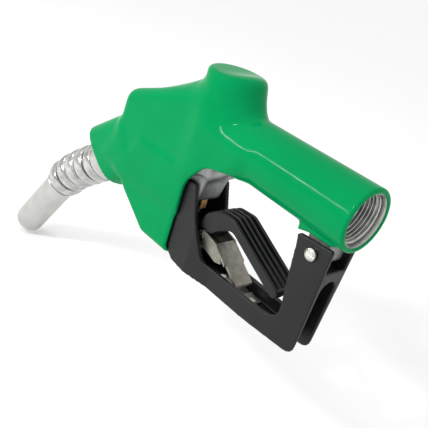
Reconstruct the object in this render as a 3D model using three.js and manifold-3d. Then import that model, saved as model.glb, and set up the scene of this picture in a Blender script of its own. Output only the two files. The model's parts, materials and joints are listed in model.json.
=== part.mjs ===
// Automatic fuel nozzle: a one-inch inlet, a poppet valve worked by a squeeze lever, a latch that trips
// when the spout tip is covered, a bent spout, and a vinyl hand cover over the casting.
// Millimetres. The origin is the centre of the inlet mouth, +X points out of the inlet, +Z points from the
// lever towards the valve cap, and the spout points towards -X.
import * as THREE from "three";
import { mergeVertices } from "three/addons/utils/BufferGeometryUtils.js";
import Module from "manifold-3d";

const wasm = await Module();
wasm.setup();

// ---- Driving dimensions ----
const degrees = THREE.MathUtils.degToRad;
const fit = 0.3; // air left between two pieces that seat on each other

// Hand cover and casting
const coverWall = 1.5;
const castingInset = coverWall + fit;
const rearRadius = 20.3; // hand cover at the inlet
const frontRadius = rearRadius - 1.4; // hand cover where the handle meets the head
const handleLength = 122;
const threadRadius = 16.6; // one-inch inlet thread
const threadDepth = 25;
const inletBore = 13.5; // passage through the handle
const headHalfWidth = 19;
const skirtHalfWidth = 18;

// Lever guard
const guardBottom = -95;
const guardTop = -36;
const guardFrontX = -150;
const guardFrontHalfWidth = 15.5;
const guardHalfWidth = 12;
const guardWall = 3;
const guardFloor = 5;
const frontScrewX = -126;
const frontScrewZ = -42;
const frontScrewRadius = 2;

// Saddle under the rear of the handle, where the guard's ears hang from a lug of the casting
const saddleZ = -rearRadius + 0.1;
const saddleHalfWidth = 11;
const earTop = saddleZ - fit - 0.1;
const lugHalfWidth = guardHalfWidth - guardWall - fit;
const rearScrewX = -17.2;
const rearScrewZ = saddleZ - 8.9;
const rearScrewRadius = 2.5;

// Main valve, parallel to Z
const valveX = -119;
const towerRadius = 19; // hand cover over the valve cap
const towerTop = 37;
const chamberRadius = 14.6;
const capSealZ = 27;
const seatZ = -16;
const seatHole = 8;
const seatWall = 4;
const discHeight = 2.6; // top of the poppet's rubber disc above the seat
const poppetRadius = 11;
const poppetHeight = 7;
const stemRadius = 2.5;
const stemTip = -62.4;
const bossBottom = -49; // underside of the casting above the lever
const bossHalfWidth = guardFrontHalfWidth - guardWall - fit;
const packingTop = -43;
const packingHeight = 2.4;
const packingRadius = stemRadius + 1.9;
const nutBottom = -56;

// Latch, from the lever pivot up to the diaphragm, leaning towards the spout
const latchPivotX = -139;
const latchPivotZ = -77;
const latchTilt = 26; // degrees
const latchStemRadius = 5;
const latchWall = 2.6;
const latchBoreRadius = latchStemRadius - latchWall;
const latchTop = 66;
const latchShoulder = latchTop - 18; // top of the stem's shaft, under its return spring
const latchEye = latchStemRadius + 0.2; // half the width of its eye
const leverPinRadius = 2.6;
const ballRadius = 1.3;
const ballOrbit = latchStemRadius - 1.4;
const ballHeight = latchTop - 23;
const ballAngles = [90, 210, 330].map(degrees);
const capSeat = 80; // height of the diaphragm face up the latch axis
const capRadius = 14.5;
const diaphragmTop = capSeat + fit + 1;
const capTop = 87.2;
const capWall = 1.5;
const capScrewOrbit = 11.6;
const capScrewRadius = 1.25;
const capScrewHead = 2.2;
const capScrewAngles = [45, 135, 225, 315].map(degrees);

// Spout and its socket
const spoutRadius = 12;
const spoutWall = 1.2;
const spoutAngle = 57; // degrees below the handle axis, along the straight end
const spoutBendRadius = 100;
const spoutNeck = 38; // straight length from the mouth to the bend
const spoutStraight = 68; // straight length from the bend to the tip
const airTubeRadius = 2.4;
const portDepth = 9; // from the tip to the air sensing port
const portRadius = 1.8;
const socketAngle = 38; // degrees below the handle axis
const socketBore = spoutRadius + 3;
const socketDepth = 30;
const adapterTop = -14;
const spoutTop = adapterTop + 2.3;
const seatTop = -socketDepth + 6; // check valve seat
const checkStemRadius = 1.8;
const spoutScrewZ = -8;
const spoutScrewDepth = spoutRadius + 1.2;
const spoutScrewRadius = 2;
const snoutRadius = socketBore + 7.6;
const snoutDrop = 2.4; // how much fuller the snout is on the side that faces the lever
const snoutBack = -42;
const snoutFlank = socketBore + 3.5; // the snout's round section is flat beyond this, on both sides
const mouthX = -215.7; // point of the spout socket axis at the snout's mouth
const mouthZ = -69.3;
const mouthSetback = 5; // from that point back to the rim of the cover
const mouthCut = degrees(16);
const sleeveStart = 9;
const sleeveLength = 62;
const sleeveWall = 1.3;
const sleeveRibs = 5;
const ribRadius = 2.2;

// Squeeze lever, hold-open clip and rack
const leverHalfWidth = 11;
const leverCheek = 2.4;
const yokeCheek = 2.5;
const yokeHalfWidth = latchEye + fit + yokeCheek;
const leverPinReach = yokeHalfWidth + 1;
const yokeTop = -62.8;
const clipPinX = -100.5;
const clipPinZ = -66.5;
const clipPinRadius = 1.6;
const clipEar = { inner: yokeHalfWidth + 0.1, outer: yokeHalfWidth + 1.3 };
const clipGapWidth = 3;
const rackTop = guardBottom + guardFloor + fit;
const rackHalfWidth = 6.5;
const rackBar = 1.4;
const rackTooth = 2.6;
const rivetSpots = [-79.5, -51.5];
const rivetRadius = 1.3;

// ---- Solids ----

function toSolid(geometry) {
  const bare = geometry.clone();
  bare.deleteAttribute("normal");
  bare.deleteAttribute("uv");
  const merged = mergeVertices(bare, 1e-4);
  return new wasm.Manifold(
    new wasm.Mesh({
      numProp: 3,
      vertProperties: new Float32Array(merged.attributes.position.array),
      triVerts: new Uint32Array(merged.index.array),
    }),
  );
}

function toGeometry(solid) {
  const mesh = solid.getMesh();
  const geometry = new THREE.BufferGeometry();
  geometry.setAttribute("position", new THREE.BufferAttribute(mesh.vertProperties, 3));
  geometry.setIndex(new THREE.BufferAttribute(mesh.triVerts, 1));
  return geometry;
}

const join = (...parts) => parts.reduce((sum, part) => sum.add(part));
const cut = (base, ...tools) => tools.reduce((rest, tool) => rest.subtract(tool), base);

// A closed outline through corners [x, z, corner radius].
function outline(corners) {
  const shape = new THREE.Shape();
  const at = (i) => new THREE.Vector2(...corners.at(i % corners.length).slice(0, 2));
  corners.forEach(([x, z, radius = 0], i) => {
    const corner = new THREE.Vector2(x, z);
    const before = at(i - 1).sub(corner).normalize();
    const after = at(i + 1).sub(corner).normalize();
    const run = radius / Math.tan(Math.acos(before.dot(after)) / 2);
    const start = corner.clone().addScaledVector(before, run);
    const end = corner.clone().addScaledVector(after, run);
    if (i === 0) shape.moveTo(start.x, start.y);
    else shape.lineTo(start.x, start.y);
    if (radius > 0) shape.quadraticCurveTo(x, z, end.x, end.y);
  });
  shape.closePath();
  return shape;
}

// An XZ outline given thickness along Y, centred on y, with rounded edges and its faces moved in by inset.
function slab(corners, halfWidth, { edge = 0, inset = 0, y = 0, steps = 2 } = {}) {
  const depth = 2 * (halfWidth - inset - edge);
  const geometry = new THREE.ExtrudeGeometry(outline(corners), {
    depth,
    curveSegments: steps,
    bevelEnabled: edge > 0,
    bevelThickness: edge,
    bevelSize: edge,
    bevelOffset: -edge - inset,
    bevelSegments: 2,
  });
  geometry.translate(0, 0, -depth / 2);
  geometry.rotateX(Math.PI / 2);
  geometry.translate(0, y, 0);
  return toSolid(geometry);
}

// An XY outline given height along Z.
function prism(corners, low, high) {
  const geometry = new THREE.ExtrudeGeometry(outline(corners), { depth: high - low, bevelEnabled: false });
  geometry.translate(0, 0, low);
  return toSolid(geometry);
}

// A round bar or cone between two points.
function bar(from, to, radius, { endRadius = radius, sides = 18 } = {}) {
  const a = new THREE.Vector3(...from);
  const axis = new THREE.Vector3(...to).sub(a);
  const geometry = new THREE.CylinderGeometry(endRadius, radius, axis.length(), sides);
  geometry.translate(0, axis.length() / 2, 0);
  const up = new THREE.Vector3(0, 1, 0);
  geometry.applyQuaternion(new THREE.Quaternion().setFromUnitVectors(up, axis.normalize()));
  geometry.translate(...a);
  return toSolid(geometry);
}

// A round bar along Y that reaches past both sides of the nozzle, to cut a pin or screw hole.
const acrossAt = (x, z, radius) => bar([x, -30, z], [x, 30, z], radius, { sides: 14 });

// A profile of [radius, z] points, closed on the axis or on itself, turned about Z.
function turned(profile, sides = 18) {
  const points = [...profile, profile[0]].map(([radius, z]) => new THREE.Vector2(radius, z));
  const geometry = new THREE.LatheGeometry(points, sides);
  geometry.rotateX(Math.PI / 2);
  const solid = toSolid(geometry);
  return solid.volume() < 0 ? toSolid(flipped(geometry)) : solid;
}

function flipped(geometry) {
  const copy = geometry.clone();
  const index = copy.index.array;
  for (let i = 0; i < index.length; i += 3) [index[i + 1], index[i + 2]] = [index[i + 2], index[i + 1]];
  return copy;
}

const ring = (inner, outer, low, high, sides = 18) =>
  turned([[inner, low], [outer, low], [outer, high], [inner, high]], sides);

// A round section swept along a curve.
function sweep(path, radius, steps, sides) {
  const section = new THREE.Shape();
  section.absarc(0, 0, radius, 0, 2 * Math.PI);
  const geometry = new THREE.ExtrudeGeometry(section, {
    steps,
    curveSegments: sides,
    extrudePath: path,
    bevelEnabled: false,
  });
  return toSolid(geometry);
}

class Helix extends THREE.Curve {
  constructor(radius, low, high, turns) {
    super();
    Object.assign(this, { radius, low, high, turns });
  }
  getPoint(t, target = new THREE.Vector3()) {
    const angle = 2 * Math.PI * this.turns * t;
    const z = THREE.MathUtils.lerp(this.low, this.high, t);
    return target.set(this.radius * Math.cos(angle), this.radius * Math.sin(angle), z);
  }
}

// A compression spring that fills the height from low to high.
function spring(coilRadius, wireRadius, low, high, turns) {
  const path = new Helix(coilRadius, low + wireRadius, high - wireRadius, turns);
  return sweep(path, wireRadius, Math.ceil(turns * 8), 2);
}

// ---- Places ----
const nozzle = new THREE.Group();

function place(x, z, turn = 0) {
  const group = new THREE.Group();
  group.position.set(x, 0, z);
  group.rotation.y = turn;
  group.updateMatrix();
  nozzle.add(group);
  return group;
}

const valvePlace = place(valveX, 0);
const latchPlace = place(latchPivotX, latchPivotZ, -degrees(latchTilt));
const socketPlace = place(mouthX, mouthZ, -degrees(90 + socketAngle));

// A solid made in a place's own frame, moved into the part's frame.
const inPlace = (group, solid) => solid.transform(group.matrix.elements);

const finishes = {
  vinyl: { color: 0x0a9c58, roughness: 0.25, metalness: 0 },
  casting: { color: 0x8c8d8f, roughness: 0.5, metalness: 0.9 },
  blackPaint: { color: 0x37373a, roughness: 0.5, metalness: 0.2 },
  aluminium: { color: 0xcfcfca, roughness: 0.35, metalness: 1 },
  steel: { color: 0xb9b8b2, roughness: 0.3, metalness: 1 },
  brass: { color: 0xa8814f, roughness: 0.35, metalness: 1 },
  rubber: { color: 0x191919, roughness: 0.8, metalness: 0 },
  plastic: { color: 0x2c2c2e, roughness: 0.5, metalness: 0 },
};

function add(name, finish, solid, group = nozzle) {
  const mesh = new THREE.Mesh(toGeometry(solid), new THREE.MeshStandardMaterial(finishes[finish]));
  mesh.name = name;
  group.add(mesh);
}

// ---- The outer form: hand cover outside at inset 0, casting outside at a deeper inset ----
const headCorners = [
  [-120, 27, 0],
  [-158, 13.5, 0],
  [-199, -4.5, 12],
  [-199, -40, 0],
  [-210, -60, 0],
  [-185, -66, 0],
  [-120, -44, 0],
  [-108, -10, 0],
];
const skirtCorners = [
  [-120, -30, 0],
  [-120, -91, 0],
  [-148, -91, 0],
  [-176, -73, 0],
  [-190, -60, 0],
  [-170, -30, 0],
];
const saddleCorners = [
  [-5, -8, 0],
  [-5, saddleZ, 0],
  [-26, saddleZ - 0.6, 0],
  [-33.5, saddleZ - 2, 0],
  [-33.5, -8, 0],
];


function handleForm(inset) {
  const lip = 1.5 - Math.min(inset, 0.5);
  const profile = [
    [0, -handleLength],
    [frontRadius - inset, -handleLength],
    [rearRadius - inset, -lip - inset],
    [rearRadius - inset - lip / 3, -lip / 3 - inset],
    [rearRadius - inset - lip, -inset],
    [0, -inset],
  ];
  return turned(profile, 28).transform(turnToX.elements);
}
const turnToX = new THREE.Matrix4().makeRotationY(Math.PI / 2);

function towerForm(inset) {
  const edge = 3;
  const radius = towerRadius - inset;
  const top = towerTop - inset;
  const profile = [
    [0, -30],
    [radius, -30],
    [radius, top - edge],
    [radius - edge * 0.3, top - edge * 0.3],
    [radius - edge, top],
    [0, top],
  ];
  return inPlace(valvePlace, turned(profile, 28));
}

function snoutForm(inset, reach) {
  const radius = snoutRadius + snoutDrop - inset;
  const barrel = bar([-snoutDrop, 0, snoutBack], [-snoutDrop, 0, reach], radius, { sides: 28 });
  const flanks = new THREE.BoxGeometry(100, 2 * (snoutFlank - inset), 200);
  return inPlace(socketPlace, barrel.intersect(toSolid(flanks)));
}

function outerForm(inset, reach) {
  return join(
    handleForm(inset),
    towerForm(inset),
    slab(headCorners, headHalfWidth, { edge: 8, inset }),
    snoutForm(inset, reach),
  );
}

const skirtForm = (inset) => slab(skirtCorners, skirtHalfWidth, { edge: 4, inset });
const bossCorners = [
  [-94, -8, 0],
  [-96, -21, 8],
  [-109, -33, 8],
  [-112, bossBottom, 2],
  [-128, bossBottom, 2],
  [-134, -10, 0],
];
const saddleForm = (inset) => slab(saddleCorners, saddleHalfWidth, { edge: 2, inset });

// Everything beyond the slanted mouth of the snout.
function beyondMouth(offset) {
  const half = 60;
  const box = new THREE.BoxGeometry(2 * half, 2 * half, half);
  box.translate(0, 0, half / 2 + offset);
  box.rotateY(-mouthCut);
  box.translate(0, 0, -mouthSetback);
  return inPlace(socketPlace, toSolid(box));
}

// A bar at the place of one of the diaphragm cap's screws, in the latch's frame.
function capScrewBar(angle, radius, low, high) {
  const x = capScrewOrbit * Math.cos(angle);
  const y = capScrewOrbit * Math.sin(angle);
  return bar([x, y, low], [x, y, high], radius, { sides: 8 });
}

// ---- Hand cover ----
function handCover() {
  const outside = join(outerForm(0, 20), skirtForm(0), saddleForm(0));
  const inside = join(outerForm(coverWall, 28), skirtForm(coverWall), saddleForm(coverWall));
  const arch = slab(
    [
      [-119.9, -130, 0],
      [-119.9, -38, 12],
      [-108, -21, 10],
      [-84, -15.5, 6],
      [-80, -23, 0],
      [-80, -130, 0],
    ],
    40,
  );
  const holeTop = saddleZ + coverWall + fit;
  const lugHole = slab(
    [[-31.5, holeTop, 0], [-31.5, -60, 0], [-4.7, -60, 0], [-4.7, holeTop, 0]],
    saddleHalfWidth - coverWall,
  );
  const bossRoom = slab(bossCorners, bossHalfWidth + fit);
  const inletHole = bar([-10, 0, 0], [10, 0, 0], threadRadius + 0.5, { sides: 28 });
  const belly = slab(
    [[-150, -70, 0], [-140, -12, 0], [-97, -12, 0], [-97, -89.4, 0], [-140, -89.4, 0]],
    skirtHalfWidth - coverWall,
    { edge: 4 },
  );
  return cut(outside, inside, arch, belly, lugHole, bossRoom, inletHole, beyondMouth(0));
}
add("hand_cover", "vinyl", handCover());

// ---- Casting ----

const guardPlateCorners = [
  [guardFrontX - fit, guardTop + fit, 0],
  [guardFrontX - fit, -120, 0],
  [-100, -120, 0],
  [-100, guardTop + fit, 0],
];

function casting() {
  const mouthFace = beyondMouth(-1);
  const boss = slab(bossCorners, bossHalfWidth, { edge: 1.5 });
  const latchHousing = inPlace(latchPlace, bar([0, 0, 24], [0, 0, 60], latchStemRadius + 4));
  const lugBottom = rearScrewZ - 5;
  const lug = slab([[-10, -10, 0], [-10, lugBottom, 5], [-25, lugBottom, 5], [-27, -10, 0]], lugHalfWidth);
  const outside = join(cut(outerForm(castingInset, 30), mouthFace), boss, latchHousing, lug);

  const thread = bar([-threadDepth, 0, 0], [5, 0, 0], threadRadius, { sides: 28 });
  const handlePassage = bar([valveX, 0, 0], [5, 0, 0], inletBore);
  const round = { sides: 28 };
  const upperChamber = inPlace(valvePlace, bar([0, 0, seatZ], [0, 0, towerTop], chamberRadius, round));
  const towerFace = inPlace(valvePlace, bar([0, 0, capSealZ], [0, 0, 60], towerRadius + 10, round));
  const seat = inPlace(valvePlace, bar([0, 0, seatZ - seatWall - 1], [0, 0, seatZ + 1], seatHole));
  const lowerChamber = inPlace(valvePlace, bar([0, 0, packingTop + 3], [0, 0, seatZ - seatWall], 10.5));
  const stemHole = inPlace(valvePlace, bar([0, 0, -60], [0, 0, 0], stemRadius + fit, { sides: 14 }));
  const packingHole = inPlace(valvePlace, bar([0, 0, -60], [0, 0, packingTop], packingRadius + fit));
  const outletCorners = [[valveX, -22, 0], [valveX, -34, 0], [-170, -44, 0], [-182, -36, 4], [-170, -24, 0]];
  const outlet = slab(outletCorners, 13);
  const column = inPlace(latchPlace, bar([0, 0, 30], [0, 0, latchTop], latchStemRadius + 3.5));
  const latchBore = inPlace(latchPlace, bar([0, 0, 10], [0, 0, capSeat + 5], latchStemRadius + fit));
  const capPocket = inPlace(latchPlace, bar([0, 0, capSeat], [0, 0, capSeat + 30], capRadius + 2 * fit, round));
  const diaphragmWell = inPlace(latchPlace, bar([0, 0, capSeat - 8], [0, 0, capSeat + 1], 8.5));
  const socket = inPlace(socketPlace, bar([0, 0, -socketDepth], [0, 0, 60], socketBore, { sides: 28 }));
  const socketThroat = inPlace(socketPlace, bar([0, 0, -62], [0, 0, -socketDepth + 1], 9));
  const rearScrewHole = acrossAt(rearScrewX, rearScrewZ, rearScrewRadius + fit);
  const frontScrewHoles = acrossAt(frontScrewX, frontScrewZ, frontScrewRadius + fit);
  const capScrewHoles = capScrewAngles.map((angle) =>
    inPlace(latchPlace, capScrewBar(angle, capScrewRadius + fit, capSeat - 9, capSeat + 30)),
  );
  const spoutScrewHole = inPlace(
    socketPlace,
    bar([spoutScrewDepth, 0, spoutScrewZ], [40, 0, spoutScrewZ], spoutScrewRadius + fit),
  );

  const plateSlots = [-1, 1].map((side) =>
    slab(guardPlateCorners, 4, { y: side * (guardFrontHalfWidth - guardWall - fit + 4) }),
  );

  const flow = cut(join(upperChamber, lowerChamber, seat, outlet, socketThroat), column);
  return cut(
    outside,
    thread,
    handlePassage,
    flow,
    towerFace,
    stemHole,
    packingHole,
    latchBore,
    capPocket,
    diaphragmWell,
    socket,
    rearScrewHole,
    frontScrewHoles,
    spoutScrewHole,
    ...plateSlots,
    ...capScrewHoles,
  );
}

// ---- Main valve ----


add("body", "casting", casting());

function valveCap() {
  const profile = [
    [0, capSealZ - 8],
    [chamberRadius - fit, capSealZ - 8],
    [chamberRadius - fit, capSealZ + 1.6 + fit],
    [towerRadius - castingInset - 0.5, capSealZ + 1.6 + fit],
    [towerRadius - castingInset - 0.5, towerTop - castingInset - 3.5],
    [towerRadius - castingInset - 3, towerTop - castingInset - fit],
    [0, towerTop - castingInset - fit],
  ];
  const springWell = bar([0, 0, capSealZ - 12], [0, 0, capSealZ - 2], 10);
  const keySlot = toSolid(new THREE.BoxGeometry(24, 4, 5).translate(0, 0, towerTop - castingInset));
  return cut(turned(profile, 28), springWell, keySlot);
}
add("valve_cap", "aluminium", valveCap(), valvePlace);
const capSeal = ring(chamberRadius, towerRadius - castingInset - 0.5, capSealZ + fit, capSealZ + 1.6);
add("cap_seal", "rubber", capSeal, valvePlace);
const poppetDisc = ring(stemRadius + fit, poppetRadius, seatZ + fit, seatZ + discHeight);
add("poppet_disc", "rubber", poppetDisc, valvePlace);

function mainPoppet() {
  const low = seatZ + discHeight + fit;
  return turned([
    [stemRadius + fit, low],
    [poppetRadius, low],
    [poppetRadius, low + 3],
    [poppetRadius + 2, low + 4],
    [poppetRadius + 2, low + poppetHeight],
    [6, low + poppetHeight],
    [6, low + 9],
    [stemRadius + fit, low + 9],
  ]);
}
add("main_poppet", "aluminium", mainPoppet(), valvePlace);
const poppetTop = seatZ + discHeight + fit + poppetHeight;
add("main_spring", "steel", spring(8.4, 0.9, poppetTop + fit, capSealZ - 2 - fit, 5), valvePlace);

function valveStem() {
  const shoulder = seatZ - 0.6;
  return turned(
    [
      [0, stemTip],
      [stemRadius * 0.7, stemTip + 0.5],
      [stemRadius, stemTip + 2],
      [stemRadius, shoulder - 3],
      [stemRadius + 2, shoulder - 3],
      [stemRadius + 2, shoulder],
      [stemRadius, shoulder],
      [stemRadius, seatZ + 14],
      [0, seatZ + 14],
    ],
    20,
  );
}
add("valve_stem", "steel", valveStem(), valvePlace);
const packing = ring(stemRadius + fit, packingRadius, packingTop - packingHeight, packingTop - fit, 24);
add("stem_packing", "rubber", packing, valvePlace);

function packingNut() {
  const shank = ring(stemRadius + fit, packingRadius, bossBottom - 1, packingTop - packingHeight - fit, 24);
  const hex = bar([0, 0, nutBottom], [0, 0, bossBottom - fit], 5.2, { sides: 6 });
  const bore = bar([0, 0, nutBottom - 1], [0, 0, 0], stemRadius + fit, { sides: 24 });
  return cut(join(shank, hex), bore);
}
add("packing_nut", "brass", packingNut(), valvePlace);

// ---- Latch: stem, return spring, balls, pin and diaphragm ----
function latchStem() {
  const shaft = bar([0, 0, 0], [0, 0, latchShoulder], latchStemRadius);
  const eye = bar([0, -latchEye, 0], [0, latchEye, 0], 6.5);
  const bore = bar([0, 0, latchTop - 40], [0, 0, latchTop], latchBoreRadius, { sides: 14 });
  const pinHole = bar([0, -20, 0], [0, 20, 0], leverPinRadius + fit, { sides: 14 });
  const ballHoles = ballAngles.map((angle) => ballHole(angle));
  return cut(join(shaft, eye), bore, pinHole, ...ballHoles);
}
function ballHole(angle) {
  const reach = [Math.cos(angle) * 8, Math.sin(angle) * 8, ballHeight];
  return bar([0, 0, ballHeight], reach, ballRadius + fit, { sides: 8 });
}
add("latch_stem", "steel", latchStem(), latchPlace);
ballAngles.forEach((angle, i) => {
  const ball = new THREE.SphereGeometry(ballRadius, 8, 6);
  ball.translate(ballOrbit * Math.cos(angle), ballOrbit * Math.sin(angle), ballHeight);
  add(`latch_ball_${i + 1}`, "steel", toSolid(ball), latchPlace);
});
add("lever_pin", "steel", bar([0, -leverPinReach, 0], [0, leverPinReach, 0], leverPinRadius, { sides: 14 }), latchPlace);
add("latch_spring", "steel", spring(3.6, 0.6, latchShoulder + fit, capSeat - 8, 5), latchPlace);

function latchPin() {
  return turned(
    [
      [0, latchTop - 32],
      [latchBoreRadius / 2, latchTop - 32],
      [latchBoreRadius - fit, latchTop - 26],
      [latchBoreRadius - fit, capSeat - 3],
      [4.5, capSeat - 3],
      [4.5, capSeat - 0.5],
      [0, capSeat - 0.5],
    ],
    16,
  );
}
add("latch_pin", "steel", latchPin(), latchPlace);

function diaphragm() {
  const holes = capScrewAngles.map((angle) => capScrewBar(angle, capScrewRadius + fit, 0, 100));
  return cut(bar([0, 0, capSeat + fit], [0, 0, diaphragmTop], capRadius - 0.5, { sides: 28 }), ...holes);
}
add("diaphragm", "rubber", diaphragm(), latchPlace);

function diaphragmCap() {
  const low = diaphragmTop + fit;
  const disc = turned(
    [
      [0, low],
      [capRadius, low],
      [capRadius, capTop - 2],
      [capRadius - 2, capTop],
      [0, capTop],
    ],
    28,
  );
  const well = bar([0, 0, low - 1], [0, 0, capTop - capWall], 8);
  const holes = capScrewAngles.map((angle) => capScrewBar(angle, capScrewRadius + fit, 0, 100));
  const heads = capScrewAngles.map((angle) => capScrewBar(angle, capScrewHead + fit, capTop - 2, 100));
  return cut(disc, well, ...holes, ...heads);
}
add("diaphragm_cap", "aluminium", diaphragmCap(), latchPlace);
add("diaphragm_spring", "steel", spring(6, 0.4, diaphragmTop + fit, capTop - capWall - fit, 2.5), latchPlace);

function capScrew(angle) {
  const shank = capScrewBar(angle, capScrewRadius, capSeat - 7, capTop - 1.5);
  const head = capScrewBar(angle, capScrewHead, capTop - 1.7, capTop - 0.2);
  return join(shank, head);
}
capScrewAngles.forEach((angle, i) => add(`cap_screw_${i + 1}`, "steel", capScrew(angle), latchPlace));

// ---- Spout ----

// The spout's centre line in the socket's frame, where +Z leaves the mouth and -X faces the lever side.
class SpoutLine extends THREE.Curve {
  constructor(start, cutBack = 0, offset = 0) {
    super();
    this.offset = offset;
    this.start = start;
    this.bend = degrees(spoutAngle - socketAngle);
    this.neck = spoutNeck - start;
    this.arc = spoutBendRadius * this.bend;
    this.reach = this.neck + this.arc + spoutStraight - cutBack;
  }
  getPoint(t, target = new THREE.Vector3()) {
    const along = t * this.reach;
    const angle = THREE.MathUtils.clamp((along - this.neck) / spoutBendRadius, 0, this.bend);
    const before = Math.min(along, this.neck);
    const after = Math.max(along - this.neck - this.arc, 0);
    const radius = spoutBendRadius + this.offset;
    const x = radius * Math.cos(angle) - spoutBendRadius - after * Math.sin(this.bend);
    const z = this.start + before + radius * Math.sin(angle) + after * Math.cos(this.bend);
    return target.set(x, 0, z);
  }
}

function spoutAdapter() {
  const tube = ring(spoutRadius + fit, socketBore - fit, adapterTop, 8, 28);
  const web = bar([0, 0, adapterTop], [0, 0, adapterTop + 2], socketBore - fit, { sides: 28 });
  const ports = [0, 120, 240].map((turn) => {
    const x = 7 * Math.cos(degrees(turn));
    const y = 7 * Math.sin(degrees(turn));
    return bar([x, y, adapterTop - 1], [x, y, adapterTop + 3], 3.4, { sides: 14 });
  });
  const guide = bar([0, 0, adapterTop - 1], [0, 0, adapterTop + 3], checkStemRadius + fit, { sides: 12 });
  const screwHole = bar([10, 0, spoutScrewZ], [30, 0, spoutScrewZ], spoutScrewRadius + fit, { sides: 12 });
  return cut(join(tube, web), ...ports, guide, screwHole);
}
add("spout_adapter", "aluminium", spoutAdapter(), socketPlace);
const spoutSeal = ring(spoutRadius + 0.6, socketBore - fit, adapterTop - 1.9, adapterTop - fit);
add("spout_seal", "rubber", spoutSeal, socketPlace);

add("check_seat", "brass", ring(8, socketBore - fit, -socketDepth + fit, seatTop, 28), socketPlace);
add(
  "check_poppet",
  "brass",
  turned(
    [
      [0, seatTop + fit],
      [9.5, seatTop + fit],
      [9.5, seatTop + 2],
      [5, seatTop + 3.4],
      [checkStemRadius, seatTop + 3.4],
      [checkStemRadius, adapterTop + 5],
      [0, adapterTop + 5],
    ],
    24,
  ),
  socketPlace,
);
add("check_spring", "steel", spring(3, 0.5, seatTop + 3.4 + fit, adapterTop - fit, 3), socketPlace);

const wholeSpout = new SpoutLine(spoutTop);
const tip = wholeSpout.getPoint(1);
const tipBack = wholeSpout.getTangent(1).negate();

// A round bar along the whole spout. Every one bends at the same places, so two of them stay parallel.
const alongSpout = (radius) => sweep(wholeSpout, radius, 8, 10);

function spoutTube() {
  const outside = alongSpout(spoutRadius);
  const inside = sweep(new SpoutLine(spoutTop - 1, -1), spoutRadius - spoutWall, 8, 10);
  const portAt = tip.clone().addScaledVector(tipBack, portDepth);
  const under = new THREE.Vector3(tipBack.z, 0, -tipBack.x);
  const portEnd = portAt.clone().addScaledVector(under, 20);
  const port = bar(portAt.toArray(), portEnd.toArray(), portRadius, { sides: 12 });
  const screw = bar([10, 0, spoutScrewZ], [30, 0, spoutScrewZ], spoutScrewRadius + fit, { sides: 12 });
  return cut(outside, inside, port, screw);
}
add("spout", "aluminium", spoutTube(), socketPlace);

const airTubeOffset = spoutRadius - spoutWall - airTubeRadius - fit;
const airLine = (start, cutBack) => new SpoutLine(start, cutBack, -airTubeOffset);
add(
  "air_tube",
  "aluminium",
  cut(sweep(airLine(-4, 6), airTubeRadius, 8, 5), sweep(airLine(-5, 5), airTubeRadius - 0.6, 8, 5)),
  socketPlace,
);

// A ribbed sleeve around the bend of the spout.
function spoutSleeve() {
  const line = new SpoutLine(sleeveStart);
  const part = (t) => line.getPoint((t * sleeveLength) / line.reach);
  const direction = (t) => line.getTangent((t * sleeveLength) / line.reach);
  const short = new SpoutLine(sleeveStart, line.reach - sleeveLength);
  const tube = sweep(short, spoutRadius + sleeveWall, 5, 8);
  const rings = Array.from({ length: sleeveRibs }, (_, i) => {
    const t = (i + 0.5) / sleeveRibs;
    const geometry = new THREE.TorusGeometry(spoutRadius + 1, ribRadius, 5, 14);
    const up = new THREE.Vector3(0, 0, 1);
    geometry.applyQuaternion(new THREE.Quaternion().setFromUnitVectors(up, direction(t)));
    geometry.translate(...part(t));
    return toSolid(geometry);
  });
  return cut(join(tube, ...rings), alongSpout(spoutRadius + fit));
}
add("spout_sleeve", "aluminium", spoutSleeve(), socketPlace);

function spoutScrew() {
  const tipX = spoutRadius + 0.4;
  const headX = snoutRadius - castingInset - 0.4;
  const shank = bar([tipX, 0, spoutScrewZ], [headX - 2, 0, spoutScrewZ], spoutScrewRadius, { sides: 12 });
  const headRadius = spoutScrewRadius + 0.2;
  const head = bar([headX - 2.8, 0, spoutScrewZ], [headX, 0, spoutScrewZ], headRadius, { sides: 12 });
  const slot = toSolid(new THREE.BoxGeometry(1, 6, 0.9).translate(headX, 0, spoutScrewZ));
  return cut(join(shank, head), slot);
}
add("spout_screw", "steel", spoutScrew(), socketPlace);

// ---- Lever guard ----
const guardCorners = [
  [guardFrontX, guardTop, 4],
  [guardFrontX, -84, 6],
  [-144, -86.5, 4],
  [-119.6, -86.5, 0],
  [-119.6, -89.5, 0],
  [-114, -93.3, 3],
  [-101, guardBottom, 5],
  [-7, guardBottom, 6],
  [-5.2, earTop, 2],
  [-31, earTop - 2, 2],
  [-29.6, earTop - 7.4, 4],
  [-22.5, -81, 11],
  [-91, -81, 9],
  [-104.5, -56, 14],
  [-111, -38.5, 2],
  [-112, guardTop, 1],
];
const planCorners = (trim) => [
  [-160, guardFrontHalfWidth - trim, 0],
  [-160, -guardFrontHalfWidth + trim, 0],
  [-101, -guardFrontHalfWidth + trim, 8],
  [-82, -guardHalfWidth + trim, 8],
  [10, -guardHalfWidth + trim, 0],
  [10, guardHalfWidth - trim, 0],
  [-82, guardHalfWidth - trim, 8],
  [-101, guardFrontHalfWidth - trim, 8],
];

// The half space outside a plane through three points, on the side away from the guard.
function shaving(side) {
  const a = new THREE.Vector3(-45, side * guardHalfWidth, guardBottom);
  const b = new THREE.Vector3(-6.5, side * (guardHalfWidth - 3.8), guardBottom);
  const c = new THREE.Vector3(-6.5, side * guardHalfWidth, -25);
  const normal = new THREE.Vector3().crossVectors(b.clone().sub(a), c.clone().sub(a)).normalize();
  if (normal.y * side < 0) normal.negate();
  const box = new THREE.BoxGeometry(300, 300, 28);
  box.translate(0, 0, 20);
  box.applyQuaternion(new THREE.Quaternion().setFromUnitVectors(new THREE.Vector3(0, 0, 1), normal));
  box.translate(...a);
  return toSolid(box);
}

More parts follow.
